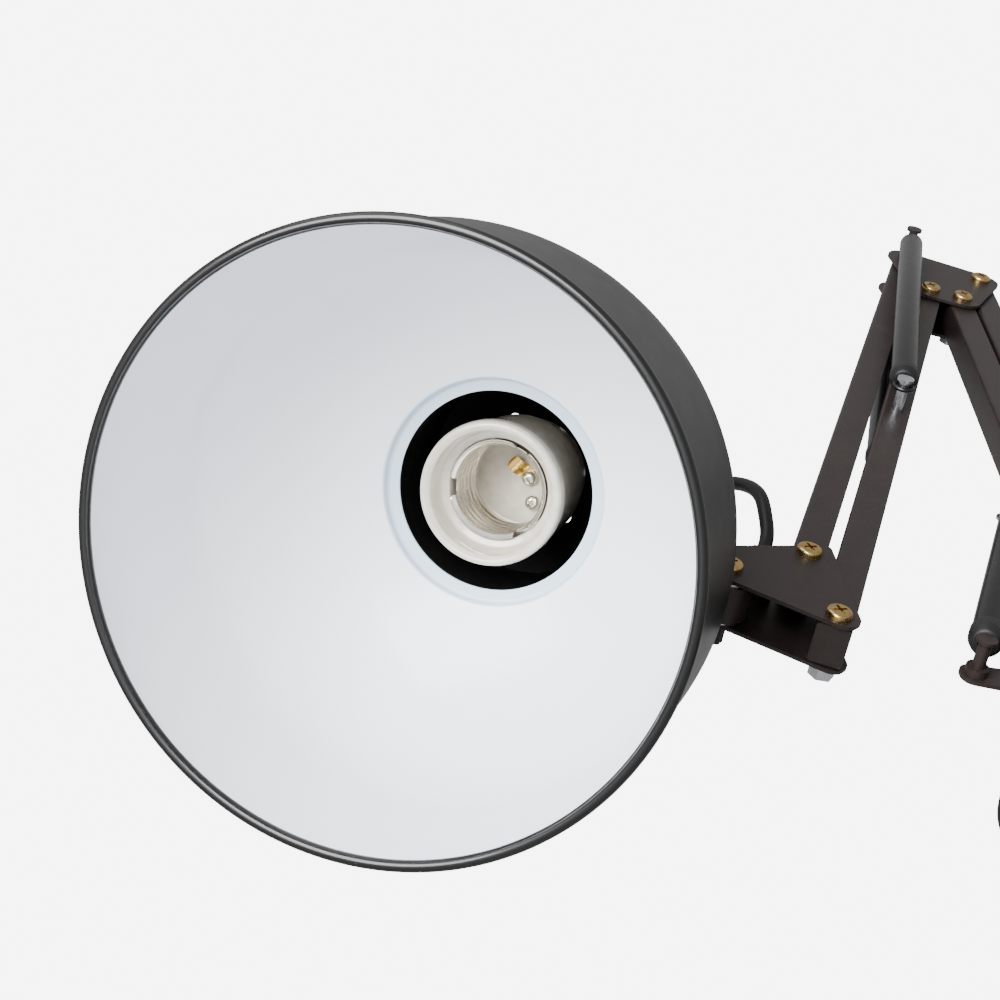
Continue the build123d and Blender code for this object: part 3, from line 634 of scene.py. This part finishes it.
sleeve = grid_mesh("nickel_thread_sleeve", thread_sleeve(), True, True, nickel, "shade")
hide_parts("screw_shell")

# %% [markdown]
# On the floor of the recess sit the centre contact, a bent strip of springy brass, and the two round
# screws that hold the wires. A screw's head is a shallow dome over a grid of radius and angle, with a
# straight slot pressed into it.


# %% Terminal screws and contact strip
def slotted_head(name, place, radius, height, slot_deg):
    """Dome height h (1 - 0.55 (r / R)^4), less a slot of half width 0.16 R and depth 0.7 h.

    The last ring drops to 0.2 mm below the seat, which makes the side wall.
    """
    share = np.concatenate([np.linspace(0, 1, 40), [1.0]])[None, :]
    turn = np.linspace(0, 2 * math.pi, 96, endpoint=False)[:, None]
    u, v = share * np.cos(turn), share * np.sin(turn)
    a = math.radians(slot_deg)
    across = np.abs(-u * math.sin(a) + v * math.cos(a))
    cut = 0.7 * height / (1 + np.exp((across - 0.16) / 0.02))
    rise = height * (1 - 0.55 * share ** 4) - cut
    rise[:, -1] = -0.2
    origin, x, y, z = shade_axes
    centre = origin + place[0] * x + place[1] * y + place[2] * z
    points = centre + radius * (u[..., None] * x + v[..., None] * y) - rise[..., None] * z
    return grid_mesh(name, points * MM, wrap_rows=True, material=nickel, body="shade")


def contact_strip():
    """A strip 5 mm wide along a bent line from the first screw to a raised, rounded tip."""
    share = np.linspace(0, 1, 60)
    along = np.array([(2.6, -0.8)]) + share[:, None] * np.array([(-7.6, -3.6)])
    lift = 0.45 + 2.3 * (0.5 - 0.5 * np.cos(math.pi * np.clip((share - 0.3) / 0.45, 0, 1)))
    lift = lift - 0.9 * np.clip((share - 0.86) / 0.14, 0, 1) ** 2
    side = np.array((3.6, -7.6)) / math.hypot(3.6, 7.6)
    origin, x, y, z = shade_axes
    rows = []
    for across, level in ((-1, 0.0), (1, 0.0), (1, 0.5), (-1, 0.5)):
        half = 2.5 * np.sqrt(np.clip(1 - np.clip((share - 0.8) / 0.22, 0, 1) ** 2, 0, 1))
        flat = along + across * half[:, None] * side
        depth_in = 129.9 - lift + level
        rows.append(origin + flat[:, :1] * x + flat[:, 1:] * y + depth_in[:, None] * z)
    return capped(np.stack(rows, axis=1)) * MM


strip = grid_mesh("brass_contact_strip", contact_strip(), wrap_columns=True, material=brass,
                  body="shade")
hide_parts("holder_contacts")
SCREWS = [((2.6, -0.8, 128.6), 35), ((6.0, 6.5, 129.6), 110)]  # place in mm, slot's angle
for number, (place, slot_deg) in enumerate(SCREWS, 1):
    head = slotted_head(f"terminal_screw_{number}", place, 2.4, 1.9, slot_deg)

# %% [markdown]
# ## Springs and sleeves
# Two springs pull on the upper arm and one on the lower. Each is a close winding of steel wire under
# a glossy vinyl sleeve whose ends curl in, with a rubber cap where the spring's hook comes out. The
# winding is a tube along a helix. A sleeve shortens with its spring as the arm folds.

# %% Springs, sleeves and caps
UPPER_PINS = ((-44.181, 231.917), (-10.2, 396.9))  # mm: (x, z) of the low and the high pin
LOWER_PINS = ((-53.8, 53.7), (0.231, 213.04))
# Pins, side, sleeve's start and stop, body, joint, whether it flattens to its high pin, share kept.
SPRINGS = {
    "upper_near": (UPPER_PINS, -16.5, 11.0, 163.4, "upper_spring", "upper_arm", True, 0.75),
    "upper_far": (UPPER_PINS, 16.5, 11.0, 163.4, "upper_spring", "upper_arm", True, 0.75),
    "lower_near": (LOWER_PINS, -16.5, 9.0, 157.2, "lower_spring", "lower_arm", False, 0.72),
}
REPLACED = {
    "upper_near": ("upper_sleeve_near", "upper_springs"),
    "upper_far": ("upper_sleeve_far",),
    "lower_near": ("lower_sleeve", "lower_spring"),
}


def winding(local, low, high, radius=3.1, wire=0.55, pitch=1.3):
    """Helix origin + radius (cos a x + sin a y) + pitch a / 2 pi z, with a wire carried along it."""
    origin, x, y, z = local
    turns = (high - low) / pitch
    a = np.linspace(0, 2 * math.pi * turns, int(turns * 14))[:, None]
    line = origin + radius * (np.cos(a) * x + np.sin(a) * y) + (low + pitch * a / (2 * math.pi)) * z
    outwards = np.cos(a) * x + np.sin(a) * y
    t = np.linspace(0, 2 * math.pi, 6, endpoint=False)[None, :, None]
    ring = line[:, None, :] + wire * (np.cos(t) * outwards[:, None, :] + np.sin(t) * z)
    return capped(ring) * MM


for label, (pins, side_y, start, stop, body, joint, anchor_high, keep) in SPRINGS.items():
    a, b = (np.array((x, side_y, z)) for x, z in pins)
    local = axes(a, b - a, (0, 1, 0))
    pieces = []
    outline = rounded([(3.3, start, 0), (4.8, start, 0.9), (4.8, stop, 1.4), (3.0, stop, 0.3),
                       (3.0, stop - 0.7, 0.3), (4.05, stop - 1.2, 0.5), (4.05, start + 1.0, 0.5),
                       (3.3, start + 0.8, 0)], 6)
    pieces.append(lathe(f"vinyl_sleeve_{label}", outline, local, vinyl, body, 48))
    pieces.append(grid_mesh(f"spring_winding_{label}", winding(local, start - 1.0, stop - 2.5),
                            wrap_columns=True, material=dark_wire, body=body))
    cap = rounded([(2.2, start - 6.2, 0), (4.3, start - 6.2, 1.5), (5.3, start - 3.0, 1.6),
                   (5.2, start + 1.6, 0.8), (4.85, start + 1.7, 0.1), (4.85, start - 0.1, 0.1),
                   (2.2, start - 0.3, 0)], 6)
    pieces.append(lathe(f"spring_cap_{label}", cap, local, nylon, body, 40))
    for piece in pieces:
        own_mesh(piece)
    for piece, node in zip(pieces, REPLACED[label]):
        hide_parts(node)
    print(label, "is", round(float(np.linalg.norm(b - a)), 1), "mm between its pins")

# %% [markdown]
# ## Carried-over metal and plastic
# Folded bars, flat plates and turned parts already have the right shape, so they only need their
# finishes.

# %% Finishes for the frame's own nodes
FINISHES = {
    arm_paint: ["head_plate_near", "head_plate_far", "upper_bar_front", "upper_bar_rear",
                "elbow_plate_near", "elbow_plate_far", "elbow_cover", "lower_bar_front",
                "lower_bar_rear", "base_plate_near", "base_plate_far", "base_block", "yoke_block",
                "spring_stud", "elbow_spring_bolt"],
    cup_paint: ["socket_cup", "cup_cap", "cup_boss"],
    nylon: ["switch_knob", "tilt_knob", "cord_gland", "cord_clamp", "lead_gland", "coil_tie",
            "plug_body"],
    yellow_zinc: ["head_screws", "elbow_screws", "base_screws"],
    bright_zinc: ["holder_nipple", "swivel_pin", "tilt_washers", "head_nuts", "elbow_nuts", "base_nuts",
                  "upper_spring_pin", "lower_spring_pin", "clamp_screw", "tommy_bar",
                  "clamp_pad", "thumb_screw", "plug_pins"],
    dark_wire: ["upper_spring_eyes", "lower_spring_eye"],
    casting: ["clamp_body"],
}
for material, names in FINISHES.items():
    for name in names:
        dress(name, material)

# %% [markdown]
# ## Room and light
# A plain pale floor lies at the height that a desk clamp leaves below the tabletop. Soft light comes
# from a dim white room and from large panels, which draw long, quiet highlights on the black paint.
# The room looks bright to the camera alone, as a backdrop that is lit on its own, so the dark gloss
# doesn't wash out.


# %% Floor, world and lights
def pale_floor():
    """A flat square of pale matt paint, 6 m wide, 0.74 m below the tabletop."""
    side = np.array([-3.0, 3.0])
    x, y = np.meshgrid(side, side, indexing="ij")
    points = np.stack([x, y, np.full_like(x, -0.74)], axis=-1)
    material, _, _ = new_material("pale_matt_floor_paint", "#e9e9e8", Roughness=0.8)
    grid_mesh("floor", points, material=material)


pale_floor()
world = bpy.data.worlds.new("studio")
bpy.context.scene.world = world
world.use_nodes = True
air = world.node_tree
ray = add(air, "ShaderNodeLightPath")
bright = add(air, "ShaderNodeMapRange", {
    "Value": ray.outputs["Is Camera Ray"], "To Min": 0.55, "To Max": 7.0,
})
background = air.nodes["Background"]
background.inputs["Color"].default_value = linear("#ffffff")
air.links.new(bright.outputs["Result"], background.inputs["Strength"])


def panel(name, place, aim, width, height, power):
    """A rectangular soft light at place, pointed at aim, sizes in metres, power in watts."""
    data = bpy.data.lights.new(name, "AREA")
    data.shape = "RECTANGLE"
    data.size, data.size_y, data.energy = width, height, power
    lamp = bpy.data.objects.new(name, data)
    lamp.location = place
    lamp.rotation_euler = (Vector(aim) - Vector(place)).to_track_quat("-Z", "Y").to_euler()
    bpy.context.scene.collection.objects.link(lamp)


panel("key_panel", (-0.9, -1.2, 0.5), (-0.15, 0, 0.2), 1.0, 1.0, 6)
panel("low_panel", (-0.75, -0.6, -0.6), (-0.2, 0, 0.08), 0.9, 0.9, 60)
